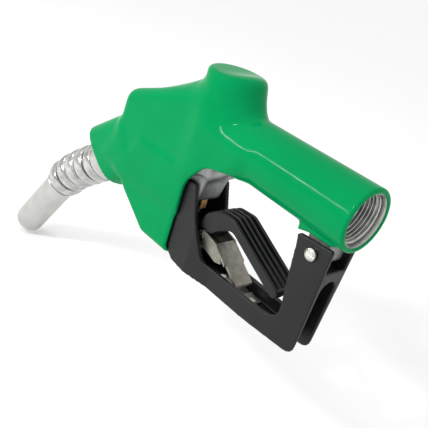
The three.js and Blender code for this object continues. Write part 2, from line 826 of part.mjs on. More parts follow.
function leverGuard() {
  const shell = slab(guardCorners, guardFrontHalfWidth + 1).intersect(prism(planCorners(0), -120, 0));
  const floorTop = guardBottom + guardFloor;
  const channelSide = slab(
    [
      [guardFrontX - 5, 0, 0],
      [guardFrontX - 5, -100, 0],
      [-117, -100, 0],
      [-115, floorTop, 0],
      [-25.5, floorTop, 6],
      [-32, -36, 0],
      [-32, 0, 0],
    ],
    40,
  );
  const channel = channelSide.intersect(prism(planCorners(guardWall), -130, 10));
  const legSlotHalf = 7;
  const slotTop = -45;
  const legFront = [
    [-24.5, slotTop - legSlotHalf, 0],
    [-19.5, floorTop, 0],
    [-19.5, -110, 0],
    [10, -110, 0],
    [10, slotTop - legSlotHalf, 0],
  ];
  const legSlot = join(
    slab(legFront, legSlotHalf),
    bar([-25, 0, slotTop - legSlotHalf], [10, 0, slotTop - legSlotHalf], legSlotHalf),
  );
  const gapFloor = rearScrewZ - 7;
  const gapCorners = [[-40, gapFloor, 0], [10, gapFloor, 0], [10, 0, 0], [-40, 0, 0]];
  const lugGap = slab(gapCorners, guardHalfWidth - guardWall);
  const rearHole = acrossAt(rearScrewX, rearScrewZ, rearScrewRadius + fit);
  const frontHole = acrossAt(frontScrewX, frontScrewZ, frontScrewRadius + fit);
  const recesses = [-1, 1].map((side) =>
    bar([frontScrewX, side * 14.2, frontScrewZ], [frontScrewX, side * 30, frontScrewZ], 4 + fit),
  );
  const rivetHoles = rivetSpots.map((x) => bar([x, 0, -100], [x, 0, -80], rivetRadius + fit, { sides: 12 }));
  return cut(shell, shaving(1), shaving(-1), channel, legSlot, lugGap, rearHole, frontHole, ...recesses, ...rivetHoles);
}
add("lever_guard", "blackPaint", leverGuard());

[-1, 1].forEach((side) => {
  const x = frontScrewX;
  const z = frontScrewZ;
  const shank = bar([x, side * 8, z], [x, side * 14.8, z], frontScrewRadius, { sides: 12 });
  const head = bar([x, side * 14.5, z], [x, side * 15.9, z], 4, { sides: 14 });
  add(side < 0 ? "guard_screw_near" : "guard_screw_far", "steel", join(shank, head));
});

function rearScrew() {
  const face = -guardHalfWidth - fit;
  const end = guardHalfWidth + 3.2;
  const at = (y) => [rearScrewX, y, rearScrewZ];
  const head = join(bar(at(face), at(face - 1.6), 3.8), bar(at(face - 1.5), at(face - 2.6), 3.8, { endRadius: 2.6 }));
  const slot = toSolid(new THREE.BoxGeometry(6, 1.2, 1).translate(rearScrewX, face - 2.4, rearScrewZ));
  return cut(join(head, bar(at(face - 0.5), at(end), rearScrewRadius, { sides: 14 })), slot);
}
add("rear_screw", "steel", rearScrew());

function rearNut() {
  const at = (y) => [rearScrewX, y, rearScrewZ];
  const hex = bar(at(guardHalfWidth + fit), at(guardHalfWidth + 2.8), 4.4, { sides: 6 });
  return cut(hex, bar(at(0), at(20), rearScrewRadius + fit, { sides: 14 }));
}
add("rear_nut", "steel", rearNut());

// ---- Hold-open rack on the guard floor ----
function rack() {
  const barTop = rackTop + rackBar;
  const teeth = [-77, -71, -65, -59].flatMap((x) => [
    [x, barTop, 0],
    [x + 0.6, rackTop + rackTooth, 0],
    [x + 5, barTop, 0],
  ]);
  const corners = [[-82, rackTop, 0], [-82, barTop, 0], ...teeth, [-49, barTop, 0], [-49, rackTop, 0]];
  const holes = rivetSpots.map((x) => bar([x, 0, -100], [x, 0, -80], rivetRadius + fit, { sides: 12 }));
  return cut(slab(corners, rackHalfWidth), ...holes);
}
add("hold_open_rack", "steel", rack());

rivetSpots.forEach((x, i) => {
  const shank = bar([x, 0, guardBottom + 1], [x, 0, rackTop + 2], rivetRadius, { sides: 12 });
  const head = bar([x, 0, rackTop + rackBar + fit], [x, 0, rackTop + rackTooth], 2.2, { sides: 12 });
  add(`rack_rivet_${i + 1}`, "steel", join(shank, head));
});

// ---- Squeeze lever ----
const armCorners = [
  [-102, -61, 2],
  [-102, -51, 8],
  [-92, -43.6, 9],
  [-78, -42.4, 9],
  [-28.5, -65.6, 2],
  [-31.5, -71, 3],
  [-77, -49.6, 8],
  [-88, -57, 5],
  [-92, -61, 2],
];
const yokeCorners = [
  [latchPivotX - 7, latchPivotZ - 7, 6],
  [latchPivotX - 7, latchPivotZ + 7, 6],
  [-130, yokeTop, 5],
  [-103, yokeTop, 0],
  [-100, -58, 0],
  [-92, -58, 0],
  [-94, -66, 4],
  [-104, -72, 4],
  [-122, -77, 6],
  [latchPivotX + 6, latchPivotZ - 7, 6],
];

function lever() {
  const arm = slab(armCorners, leverHalfWidth, { edge: 0.8 });
  const trough = slab(
    [
      [-90, -30, 0],
      [-93, -42, 0],
      [-90, -46.2, 4],
      [-80, -46, 4],
      [-33.6, -66.2, 2],
      [-20, -50, 0],
      [-20, -30, 0],
    ],
    leverHalfWidth - leverCheek,
  );
  const yoke = slab(yokeCorners, yokeHalfWidth);
  const fork = slab(
    [[-160, -100, 0], [-160, -50, 0], [-126, -50, 0], [-126, -100, 0]],
    latchEye + fit,
  );
  const clipGap = [-1, 1].map((side) =>
    slab([[-110, -62, 0], [-112, -90, 0], [-80, -90, 0], [-80, -62, 0]], clipGapWidth, {
      y: side * (yokeHalfWidth + 0.6),
    }),
  );
  const pinHole = acrossAt(latchPivotX, latchPivotZ, leverPinRadius + fit);
  const clipPinHole = acrossAt(clipPinX, clipPinZ, clipPinRadius + fit);
  return cut(join(arm, yoke), trough, fork, ...clipGap, pinHole, clipPinHole);
}
add("lever", "blackPaint", lever());

// ---- Hold-open clip on the lever ----
function clip() {
  const plate = slab(
    [[-87, -65.5, 0], [-61.5, -82, 0], [-61, -83.2, 0], [-62.2, -83.4, 0], [-88, -66.8, 0]],
    clipEar.outer,
  );
  const notch = slab([[-74.5, -60, 0], [-74.5, -100, 0], [-40, -100, 0], [-40, -60, 0]], 1.5, { y: clipEar.outer });
  const taper = [-1, 1].map((side) => notch.translate(0, side < 0 ? -2 * clipEar.outer : 0, 0));
  const earCorners = [
    [-104, -64, 3],
    [-104, -71, 3],
    [-83, -76.9, 2],
    [-77, -75.4, 1],
    [-86.5, -65.2, 1],
    [-96, -63, 3],
  ];
  const thickness = (clipEar.outer - clipEar.inner) / 2;
  const ears = [-1, 1].map((side) => slab(earCorners, thickness, { y: side * (clipEar.inner + thickness) }));
  const hole = acrossAt(clipPinX, clipPinZ, clipPinRadius + fit);
  return cut(join(cut(plate, ...taper), ...ears), hole);
}
add("hold_open_clip", "steel", clip());

function clipPin() {
  const at = (y) => [clipPinX, y, clipPinZ];
  const head = bar(at(-clipEar.outer - fit - 1.2), at(-clipEar.outer - fit), 2.8, { sides: 14 });
  return join(head, bar(at(-clipEar.outer - 1), at(clipEar.outer + 1), clipPinRadius, { sides: 12 }));
}
add("clip_pin", "steel", clipPin());

function clipSpring() {
  const geometry = spring(2.7, 0.3, yokeHalfWidth - 2.2, yokeHalfWidth - 0.1, 2);
  const lieDown = new THREE.Matrix4().makeRotationX(Math.PI / 2).setPosition(clipPinX, 0, clipPinZ);
  return geometry.transform(lieDown.elements);
}
add("clip_spring", "steel", clipSpring());

export default nozzle;
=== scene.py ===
import itertools
import json
import math

import bmesh
import bpy
import numpy as np
from mathutils import Matrix, Vector


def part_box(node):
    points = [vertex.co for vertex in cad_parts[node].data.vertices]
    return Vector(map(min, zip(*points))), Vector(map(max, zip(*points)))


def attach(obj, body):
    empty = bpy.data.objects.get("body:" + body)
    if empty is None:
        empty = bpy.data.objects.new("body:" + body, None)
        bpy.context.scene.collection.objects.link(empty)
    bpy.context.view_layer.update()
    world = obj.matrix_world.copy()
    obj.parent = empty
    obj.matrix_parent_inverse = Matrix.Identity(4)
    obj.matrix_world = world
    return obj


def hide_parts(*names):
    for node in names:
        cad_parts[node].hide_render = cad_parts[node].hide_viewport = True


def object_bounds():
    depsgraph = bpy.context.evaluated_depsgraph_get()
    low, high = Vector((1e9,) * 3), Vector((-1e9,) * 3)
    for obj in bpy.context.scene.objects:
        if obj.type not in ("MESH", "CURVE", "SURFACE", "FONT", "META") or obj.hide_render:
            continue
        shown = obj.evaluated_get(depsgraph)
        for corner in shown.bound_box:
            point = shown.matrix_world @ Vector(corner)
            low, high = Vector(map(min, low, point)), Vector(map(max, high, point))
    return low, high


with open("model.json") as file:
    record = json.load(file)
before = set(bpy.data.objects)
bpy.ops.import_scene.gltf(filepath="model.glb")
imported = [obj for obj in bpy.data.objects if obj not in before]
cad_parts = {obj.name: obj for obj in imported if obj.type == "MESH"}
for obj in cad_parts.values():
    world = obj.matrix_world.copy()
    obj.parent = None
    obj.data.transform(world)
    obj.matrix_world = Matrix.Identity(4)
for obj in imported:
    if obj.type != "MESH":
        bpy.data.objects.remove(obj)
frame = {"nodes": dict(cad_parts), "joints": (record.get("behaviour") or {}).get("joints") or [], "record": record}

cad_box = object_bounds()

# ---- Places read from the frame ----
MILLI = 0.001


def box_of(node):
    return [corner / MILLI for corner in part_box(node)]


def middle_of(node):
    low, high = box_of(node)
    return (low + high) / 2


JOINTS = {joint["name"]: joint for joint in frame["joints"]}
MOUNTS = {mount["name"]: mount for mount in frame["record"]["mounts"]}

COVER_LOW, COVER_HIGH = box_of("hand_cover")
REAR_RADIUS = COVER_HIGH.y
HANDLE_TAPER = 1.4
FRONT_RADIUS = REAR_RADIUS - HANDLE_TAPER
HANDLE_LENGTH = 122
COVER_WALL = 1.5
CLEARANCE = 0.3
CASTING_INSET = COVER_WALL + CLEARANCE
THREAD_RADIUS = 16.6
THREAD_DEPTH = 25
THREAD_PITCH = 2.3

VALVE_X = middle_of("valve_cap").x
TOWER_TOP = COVER_HIGH.z
TOWER_RADIUS = 18.6
NUT_HEIGHT = 7
BOSS_BOTTOM = box_of("packing_nut")[0].z + NUT_HEIGHT

LEVER_PIVOT = Vector(JOINTS["lever_squeeze"]["pos_m"]) / MILLI
CLIP_PIVOT = Vector(JOINTS["clip_swing"]["pos_m"]) / MILLI
SOCKET_OUT = Vector(JOINTS["check_open"]["axis"])
SOCKET_BACK = Vector((SOCKET_OUT.z, 0, -SOCKET_OUT.x))
TIP_OUT = Vector(MOUNTS["spout_tip"]["axis"])
SPOUT_TIP = Vector(MOUNTS["spout_tip"]["pos_m"]) / MILLI
SPOUT_TIP.y = 0

HEAD_HALF = 18.8
SKIRT_HALF = 18.4
SNOUT_RADIUS = 22.6
SOCKET_RADIUS = 15
SPOUT_RADIUS = 12.2
SPOUT_WALL = 1.2
SPOUT_STRAIGHT = 68
SPOUT_BEND_RADIUS = 100
SPOUT_NECK = 38

GUARD_LOW, GUARD_HIGH = box_of("lever_guard")
GUARD_FRONT_HALF = GUARD_HIGH.y
GUARD_HALF = 12
GUARD_WALL = 3
GUARD_FLOOR_THICKNESS = 5
GUARD_FLOOR = GUARD_LOW.z + GUARD_FLOOR_THICKNESS
LEVER_HALF = box_of("lever")[1].y
REAR_SCREW = middle_of("rear_nut")


# ---- Spout centre line ----
def spout_line(count, start=0.0):
    """Points and directions from the mouth of the snout to the tip of the spout."""
    bend = SOCKET_OUT.angle(TIP_OUT)
    arc = SPOUT_BEND_RADIUS * bend
    bend_end = SPOUT_TIP - TIP_OUT * SPOUT_STRAIGHT
    centre = bend_end + SPOUT_BEND_RADIUS * Vector((TIP_OUT.z, 0, -TIP_OUT.x)) * -1
    total = SPOUT_NECK + arc + SPOUT_STRAIGHT
    found = []
    for i in range(count + 1):
        along = start + (total - start) * i / count
        angle = min(max((along - SPOUT_NECK) / SPOUT_BEND_RADIUS, 0), bend)
        turn = Matrix.Rotation(bend - angle, 3, "Y")
        direction = turn @ TIP_OUT
        point = centre + turn @ (bend_end - centre)
        point = point + direction * (min(along - SPOUT_NECK, 0) + max(along - SPOUT_NECK - arc, 0))
        found.append((point, direction))
    return found


MOUTH = spout_line(1)[0][0]


# ---- Distance fields: each takes x, y, z in millimetres and is negative inside the shape ----
CORNER_STEPS = 4


def rounded(corners):
    """The points of an outline given as corners (x, z, corner radius)."""
    points = []
    for i, (x, z, radius) in enumerate(corners):
        corner = Vector((x, z))
        before = (Vector(corners[i - 1][:2]) - corner).normalized()
        after = (Vector(corners[(i + 1) % len(corners)][:2]) - corner).normalized()
        run = radius / math.tan(before.angle(after) / 2)
        start, end = corner + before * run, corner + after * run
        count = CORNER_STEPS if radius else 0
        for step in range(count + 1):
            t = step / count if count else 0
            points.append(start * (1 - t) ** 2 + corner * 2 * t * (1 - t) + end * t ** 2)
    return points


def outline_distance(x, z, points):
    shape = np.broadcast(x, z).shape
    nearest = np.full(shape, np.inf)
    inside = np.zeros(shape, bool)
    for a, b in zip(points, points[1:] + points[:1]):
        ex, ez = b.x - a.x, b.y - a.y
        wx, wz = x - a.x, z - a.y
        t = np.clip((wx * ex + wz * ez) / max(ex * ex + ez * ez, 1e-9), 0, 1)
        nearest = np.minimum(nearest, (wx - ex * t) ** 2 + (wz - ez * t) ** 2)
        if a.y != b.y:
            inside ^= ((a.y > z) != (b.y > z)) & (wx < ex * wz / ez)
    return np.where(inside, -1, 1) * np.sqrt(nearest)


def with_edge(across, along, edge):
    """Meets two distances at an edge of that radius."""
    across, along = across + edge, along + edge
    outer = np.hypot(np.maximum(across, 0), np.maximum(along, 0))
    return np.minimum(np.maximum(across, along), 0) + outer - edge


def slab(corners, half_width, edge=0.0, y=0.0):
    """An XZ outline given thickness along Y, centred on y."""
    points = rounded(corners)

    def field(px, py, pz):
        return with_edge(outline_distance(px, pz, points), np.abs(py - y) - half_width, edge)

    return field


def plan(corners):
    """An XY outline, without end along Z."""
    points = rounded(corners)
    return lambda px, py, pz: outline_distance(px, py, points)


def rod(start, end, radius, end_radius=None, edge=0.0):
    """A round bar or cone between two points."""
    a, b = Vector(start), Vector(end)
    axis = (b - a).normalized()
    length = (b - a).length
    growth = (radius if end_radius is None else end_radius) - radius

    def field(px, py, pz):
        wx, wy, wz = px - a.x, py - a.y, pz - a.z
        s = wx * axis.x + wy * axis.y + wz * axis.z
        r = np.sqrt(np.maximum(wx ** 2 + wy ** 2 + wz ** 2 - s ** 2, 0))
        across = r - (radius + growth * np.clip(s / length, 0, 1))
        return with_edge(across, np.abs(s - length / 2) - length / 2, edge)

    return field


def half_space(point, normal):
    """Everything ahead of a plane."""
    p, n = Vector(point), Vector(normal).normalized()
    return lambda px, py, pz: (p.x - px) * n.x + (p.y - py) * n.y + (p.z - pz) * n.z


def smooth_least(a, b, blend):
    h = np.clip(0.5 + 0.5 * (b - a) / blend, 0, 1)
    return b + (a - b) * h - blend * h * (1 - h)


def joined(*fields, blend=0.01):
    def field(px, py, pz):
        total = fields[0](px, py, pz)
        for other in fields[1:]:
            total = smooth_least(total, other(px, py, pz), blend)
        return total

    return field


def cut(base, *tools, blend=0.01):
    def field(px, py, pz):
        total = -base(px, py, pz)
        for tool in tools:
            total = smooth_least(total, tool(px, py, pz), blend)
        return -total

    return field


def common(a, b):
    return lambda px, py, pz: np.maximum(a(px, py, pz), b(px, py, pz))


def grown(base, amount):
    return lambda px, py, pz: base(px, py, pz) - amount


# ---- Meshes ----
def corner_counts(inside):
    size = [n - 1 for n in inside.shape]
    total = np.zeros(size, np.int8)
    for i, j, k in itertools.product((0, 1), repeat=3):
        total += inside[i:size[0] + i, j:size[1] + j, k:size[2] + k]
    return total


def crossings(axes, values, inside, active):
    """The mean of the points where the surface crosses the edges of each active cell."""
    cells = np.argwhere(active)
    total = np.zeros((len(cells), 3))
    count = np.zeros(len(cells))
    for axis, (u, v) in itertools.product(range(3), itertools.product((0, 1), repeat=2)):
        start = cells.copy()
        start[:, (axis + 1) % 3] += u
        start[:, (axis + 2) % 3] += v
        end = start.copy()
        end[:, axis] += 1
        a, b = values[tuple(start.T)], values[tuple(end.T)]
        crossed = inside[tuple(start.T)] != inside[tuple(end.T)]
        share = np.where(crossed, a / np.where(a == b, 1, a - b), 0)
        point = start.astype(float)
        point[:, axis] += share
        total += point * crossed[:, None]
        count += crossed
    mean = total / count[:, None]
    return np.stack([axes[n][0] + mean[:, n] * (axes[n][1] - axes[n][0]) for n in range(3)], 1)


def net_faces(inside, index):
    """One four-sided face for each edge of the grid that the surface crosses."""
    faces = []
    for axis in range(3):
        u, v = (axis + 1) % 3, (axis + 2) % 3
        low = [slice(None)] * 3
        high = [slice(None)] * 3
        low[axis], high[axis] = slice(0, -1), slice(1, None)
        first, second = inside[tuple(low)], inside[tuple(high)]
        at = np.argwhere(first != second)
        at = at[(at[:, u] > 0) & (at[:, v] > 0)]
        leaving = first[tuple(at.T)]
        ring = []
        for du, dv in ((-1, -1), (0, -1), (0, 0), (-1, 0)):
            cell = at.copy()
            cell[:, u] += du
            cell[:, v] += dv
            ring.append(index[tuple(cell.T)])
        quads = np.stack(ring, 1)
        quads[~leaving] = quads[~leaving][:, ::-1]
        faces.append(quads)
    return np.concatenate(faces)


def slope_of(field, points, step):
    """The slope of a field at some points, from samples a step away on both sides."""
    sides = []
    for offset in step * np.eye(3):
        sides.append(field(*(points + offset).T) - field(*(points - offset).T))
    return np.stack(sides, 1) / (2 * step)


def settled(field, points, cell):
    """Moves points onto the surface along the slope of its field."""
    rounds = 3
    for _ in range(rounds):
        here = field(*points.T)
        slope = slope_of(field, points, cell * 0.1)
        length = np.maximum((slope ** 2).sum(1), 0.2)
        move = -(here / length)[:, None] * slope
        points = points + np.clip(move, -cell / 2, cell / 2)
    return points


def mesh_object(name, points, faces):
    mesh = bpy.data.meshes.new(name)
    mesh.from_pydata([tuple(p) for p in np.asarray(points) * MILLI], [], [tuple(f) for f in faces])
    mesh.update()
    mesh.polygons.foreach_set("use_smooth", [True] * len(mesh.polygons))
    made = bpy.data.objects.new(name, mesh)
    bpy.context.scene.collection.objects.link(made)
    return made


def skin(name, field, low, high, cell):
    """The surface of a distance field within a box, as a mesh of small even faces."""
    axes = [np.arange(a - 2 * cell, b + 3 * cell, cell) for a, b in zip(low, high)]
    x, y, z = axes[0][:, None, None], axes[1][None, :, None], axes[2][None, None, :]
    values = np.broadcast_to(field(x, y, z), [len(a) for a in axes])
    inside = values < 0
    counts = corner_counts(inside)
    active = (counts > 0) & (counts < 8)
    index = np.full(active.shape, -1)
    index[active] = np.arange(active.sum())
    points = settled(field, crossings(axes, values, inside, active), cell)
    return mesh_object(name, points, net_faces(inside, index))


def facing(direction):
    """A turn that takes +Z to a direction and keeps +X in the XZ plane."""
    z = Vector(direction).normalized()
    side = Vector((0, 1, 0)) if abs(z.y) < 0.9 else Vector((1, 0, 0))
    x = side.cross(z).normalized()
    return Matrix((x, z.cross(x), z)).transposed()


def turned(name, profile, place, direction, sides):
    """A profile of (radius, height) points that closes on itself, turned about an axis."""
    turn = facing(direction)
    points = []
    for k in range(sides):
        angle = 2 * math.pi * k / sides
        for radius, height in profile:
            local = Vector((radius * math.cos(angle), radius * math.sin(angle), height))
            points.append(Vector(place) + turn @ local)
    count = len(profile)
    faces = []
    for k, i in itertools.product(range(sides), range(count)):
        after = (i + 1) % count
        follow = (k + 1) % sides
        faces.append((k * count + i, follow * count + i, follow * count + after, k * count + after))
    return finished(mesh_object(name, points, faces))


def finished(obj, sharp=30):
    """Merges doubles, points the faces outwards and keeps edges sharper than an angle crisp."""
    shape = bmesh.new()
    shape.from_mesh(obj.data)
    bmesh.ops.remove_doubles(shape, verts=shape.verts, dist=1e-6)
    bmesh.ops.dissolve_degenerate(shape, dist=1e-7, edges=shape.edges)
    bmesh.ops.recalc_face_normals(shape, faces=shape.faces)
    for edge in shape.edges:
        edge.smooth = edge.calc_face_angle(0) < math.radians(sharp)
    shape.to_mesh(obj.data)
    shape.free()
    return obj


def softened(obj, width, segments=3):
    """Rounds the edges of a piece by a modifier."""
    bevel = obj.modifiers.new("rounded edges", "BEVEL")
    bevel.width = width * MILLI
    bevel.segments = segments
    bevel.limit_method = "ANGLE"
    bevel.angle_limit = math.radians(30)
    return obj


def swept(name, line, radius_at, wall=0.0, sides=72):
    """A tube along points with directions; with no wall it is closed at its ends."""
    points = []
    outer = [(p, d, radius_at(i)) for i, (p, d) in enumerate(line)]
    inner = [(p, d, radius_at(i) - wall) for i, (p, d) in enumerate(line)][::-1] if wall else []
    for point, direction, radius in outer + inner:
        turn = facing(direction)
        for k in range(sides):
            angle = 2 * math.pi * k / sides
            points.append(point + turn @ Vector((radius * math.cos(angle), radius * math.sin(angle), 0)))
    rings = len(outer) + len(inner)
    faces = []
    for i, k in itertools.product(range(rings if wall else rings - 1), range(sides)):
        follow = (i + 1) % rings
        turned_on = (k + 1) % sides
        faces.append((i * sides + k, i * sides + turned_on, follow * sides + turned_on, follow * sides + k))
    if not wall:
        faces += [tuple(range(sides))[::-1], tuple(range((rings - 1) * sides, rings * sides))]
    return finished(mesh_object(name, points, faces), 40)


# ---- Materials ----
class Finish:
    """A procedural material around one Principled shader."""

    def __init__(self, name, roughness, metallic=0.0, **uniform):
        self.material = bpy.data.materials.new(name)
        self.material.use_nodes = True
        self.nodes = self.material.node_tree.nodes
        self.links = self.material.node_tree.links
        self.shader = self.nodes["Principled BSDF"]
        self.coordinates = self.nodes.new("ShaderNodeTexCoord").outputs["Object"]
        self.height = None
        self.shader.inputs["Roughness"].default_value = roughness
        self.shader.inputs["Metallic"].default_value = metallic
        for socket, value in uniform.items():
            self.shader.inputs[socket.replace("_", " ")].default_value = value

    def noise(self, size, detail=3.0, stretch=(1, 1, 1)):
        """Noise with features of that size in millimetres, longer where stretch is below 1."""
        mapping = self.nodes.new("ShaderNodeMapping")
        mapping.inputs["Scale"].default_value = stretch
        texture = self.nodes.new("ShaderNodeTexNoise")
        texture.inputs["Scale"].default_value = 1 / (size * MILLI)
        texture.inputs["Detail"].default_value = detail
        self.links.new(self.coordinates, mapping.inputs["Vector"])
        self.links.new(mapping.outputs["Vector"], texture.inputs["Vector"])
        return texture.outputs["Fac"]

    def ranged(self, value, low, high, source=(0.3, 0.7)):
        """A value taken from one range to another."""
        node = self.nodes.new("ShaderNodeMapRange")
        node.inputs["From Min"].default_value, node.inputs["From Max"].default_value = source
        node.inputs["To Min"].default_value, node.inputs["To Max"].default_value = low, high
        self.links.new(value, node.inputs["Value"])
        return node.outputs["Result"]

    def mixed(self, value, first, second):
        node = self.nodes.new("ShaderNodeMix")
        node.data_type = "RGBA"
        for socket, colour in (("A_Color", first), ("B_Color", second)):
            target = next(s for s in node.inputs if s.identifier == socket)
            if isinstance(colour, tuple):
                target.default_value = (*colour, 1)
            else:
                self.links.new(colour, target)
        self.links.new(value, node.inputs["Factor"])
        return next(s for s in node.outputs if s.identifier == "Result_Color")

    def colour(self, output):
        self.links.new(output, self.shader.inputs["Base Color"])
        return self

    def rough(self, output):
        self.links.new(output, self.shader.inputs["Roughness"])
        return self

    def bump(self, height, depth):
        """Adds relief of that depth in millimetres."""
        node = self.nodes.new("ShaderNodeBump")
        node.inputs["Strength"].default_value = 1
        node.inputs["Distance"].default_value = depth * MILLI
        self.links.new(height, node.inputs["Height"])
        if self.height is not None:
            self.links.new(self.height, node.inputs["Normal"])
        self.height = node.outputs["Normal"]
        self.links.new(self.height, self.shader.inputs["Normal"])
        return self


def vinyl():
    coat = {"Coat_Weight": 0.8, "Coat_Roughness": 0.03, "Coat_IOR": 1.14}
    made = Finish("green vinyl", 0.3, Specular_IOR_Level=0.0, **coat)
    shade = made.mixed(made.ranged(made.noise(38), 0, 1), (0.0, 0.215, 0.063), (0.0, 0.236, 0.073))
    speckle = made.ranged(made.noise(1.6, 2), 0, 0.2, (0.62, 0.8))
    made.colour(made.mixed(speckle, shade, (0.0, 0.27, 0.09)))
    made.rough(made.ranged(made.noise(9), 0.25, 0.4))
    return made.bump(made.noise(26, 2), 0.25).bump(made.noise(1.3, 2), 0.002)


def cast_metal():
    made = Finish("cast aluminium", 0.45, 0.85)
    made.colour(made.mixed(made.ranged(made.noise(7), 0, 1), (0.2, 0.205, 0.205), (0.3, 0.305, 0.305)))
    made.rough(made.ranged(made.noise(2), 0.38, 0.58))
    return made.bump(made.noise(0.9, 4), 0.09).bump(made.noise(6), 0.15)


def powder_coat(name, tone):
    made = Finish(name, 0.4, 0.0, Specular_IOR_Level=0.28)
    light = tuple(1.4 * c for c in tone)
    made.colour(made.mixed(made.ranged(made.noise(11), 0, 1), tone, light))
    made.rough(made.ranged(made.noise(3), 0.32, 0.46))
    return made.bump(made.noise(0.55, 3), 0.02)


def satin_aluminium():
    made = Finish("satin aluminium", 0.3, 1.0)
    made.colour(made.mixed(made.ranged(made.noise(14), 0, 1), (0.44, 0.437, 0.42), (0.54, 0.537, 0.52)))
    made.rough(made.ranged(made.noise(1.2, 4, (0.15, 1, 1)), 0.26, 0.4))
    return made.bump(made.noise(0.35, 4, (0.1, 1, 1)), 0.008)


def polished_aluminium():
    made = Finish("polished aluminium", 0.18, 1.0)
    made.colour(made.mixed(made.ranged(made.noise(6), 0, 1), (0.4, 0.397, 0.385), (0.62, 0.615, 0.6)))
    made.rough(made.ranged(made.noise(2), 0.12, 0.26))
    return made.bump(made.noise(1.1, 3), 0.02)


def machined(name, dark, light, roughness):
    """Metal with fine tool marks."""
    made = Finish(name, roughness, 1.0)
    made.colour(made.mixed(made.ranged(made.noise(4), 0, 1), dark, light))
    made.rough(made.ranged(made.noise(0.8, 4, (1, 0.2, 1)), roughness * 0.8, roughness * 1.3))
    return made.bump(made.noise(0.6, 2, (1, 0.15, 1)), 0.002)


def rubber():
    made = Finish("black rubber", 0.7)
    made.colour(made.mixed(made.noise(5), (0.012, 0.012, 0.012), (0.03, 0.03, 0.03)))
    return made.bump(made.noise(0.5), 0.03)


FINISHES = {
    "vinyl": vinyl(),
    "casting": cast_metal(),
    "black_paint": powder_coat("black powder coat", (0.005, 0.0052, 0.0052)),
    "aluminium": satin_aluminium(),
    "polished": polished_aluminium(),
    "thread": machined("cut thread", (0.36, 0.36, 0.35), (0.52, 0.52, 0.5), 0.36),
    "steel": machined("bright steel", (0.5, 0.49, 0.46), (0.66, 0.65, 0.61), 0.26),
    "clip_steel": machined("nickel plate", (0.22, 0.21, 0.18), (0.31, 0.295, 0.255), 0.42),
    "brass": machined("brass", (0.5, 0.28, 0.11), (0.62, 0.37, 0.16), 0.28),
    "rubber": rubber(),
}


def dress(obj, finish):
    obj.data.materials.clear()
    obj.data.materials.append(FINISHES[finish].material)
    return obj


def piece(obj, finish, body, *stands_for):
    """Gives a piece its finish and its body, and hides the CAD nodes that it stands for."""
    dress(obj, finish)
    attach(obj, body)
    if stands_for:
        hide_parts(*stands_for)
    return obj


# ---- Outer form of the head and the handle ----
HEAD_FRONT = [
    (-110, 10, 0), (-120, 24, 0), (-158, 11.5, 0), (-198, -5.5, 12),
    (-200, -40, 0), (-210, -60, 0), (-185, -66, 0),
]
HEAD = HEAD_FRONT + [(-120, -44, 0), (-108, -10, 0)]
CHEEK = HEAD_FRONT + [(-118, -62, 0), (-93, -24, 0), (-80, -12, 6), (-76, 5, 4)]
SKIRT = [(-120, -30, 0), (-120, -91, 0), (-148, -91, 8), (-176, -73, 6), (-190, -60, 0), (-170, -30, 0)]
REAR_BOSS = [(-5, -8, 0), (-7, -20, 4), (-26, -20.6, 0), (-33.8, -22.6, 1), (-33.8, -8, 0)]
REAR_BOSS_HALF = 10.8
SNOUT_DROP = 2.4  # how much fuller the snout is towards the lever
MOUTH_TILT = math.radians(16)
MOUTH_SETBACK = 5  # from the socket's mouth back to the rim of the cover


def outer_form(side):
    """The smooth outside before anything is cut, with a given outline for its flat sides."""
    handle = rod((0, 0, 0), (-HANDLE_LENGTH, 0, 0), REAR_RADIUS, FRONT_RADIUS, edge=1.8)
    tower = rod((VALVE_X - 1, 0, -30), (VALVE_X - 1, 0, TOWER_TOP), TOWER_RADIUS, edge=3)
    elbow = rod((VALVE_X, 0, 33), (VALVE_X + 13, 0, 6), TOWER_RADIUS - 1, edge=8)
    brow = rod((VALVE_X - 3, 0, 23), (VALVE_X - 46, 0, -9), 14, edge=10)
    head = slab(side, HEAD_HALF, edge=8)
    barrel = MOUTH + SOCKET_BACK * SNOUT_DROP
    snout = cut(
        rod(barrel - SOCKET_OUT * 42, barrel + SOCKET_OUT * 20, SNOUT_RADIUS + SNOUT_DROP, edge=3),
        lambda px, py, pz: HEAD_HALF - np.abs(py),
        blend=7,
    )
    bulk = joined(handle, tower, elbow, brow, blend=6)
    bulk = joined(bulk, head, blend=7)
    bulk = joined(bulk, snout, blend=5)
    bulk = joined(bulk, slab(SKIRT, SKIRT_HALF, edge=4), blend=5)
    return joined(bulk, slab(REAR_BOSS, REAR_BOSS_HALF, edge=2), blend=2)


COVER_FORM = outer_form(CHEEK)
CASTING_FORM = grown(outer_form(HEAD), -CASTING_INSET)
MOUTH_NORMAL = Matrix.Rotation(-MOUTH_TILT, 3, "Y") @ SOCKET_OUT
RIM = MOUTH - SOCKET_OUT * MOUTH_SETBACK
BEYOND = 40  # half-width of a cut that has to pass right through
SHOWN_WALL = 2 * COVER_WALL  # thicker than in CAD, so that the mesh has room for both faces
BELLY_HALF = 16.5
PASSAGE_RADIUS = 13.5
PACKING_RADIUS = 4.7
PACKING_TOP = -43
SCREW_HOLE_RADIUS = 2.8
GUARD_PLATE_Y = 16.2


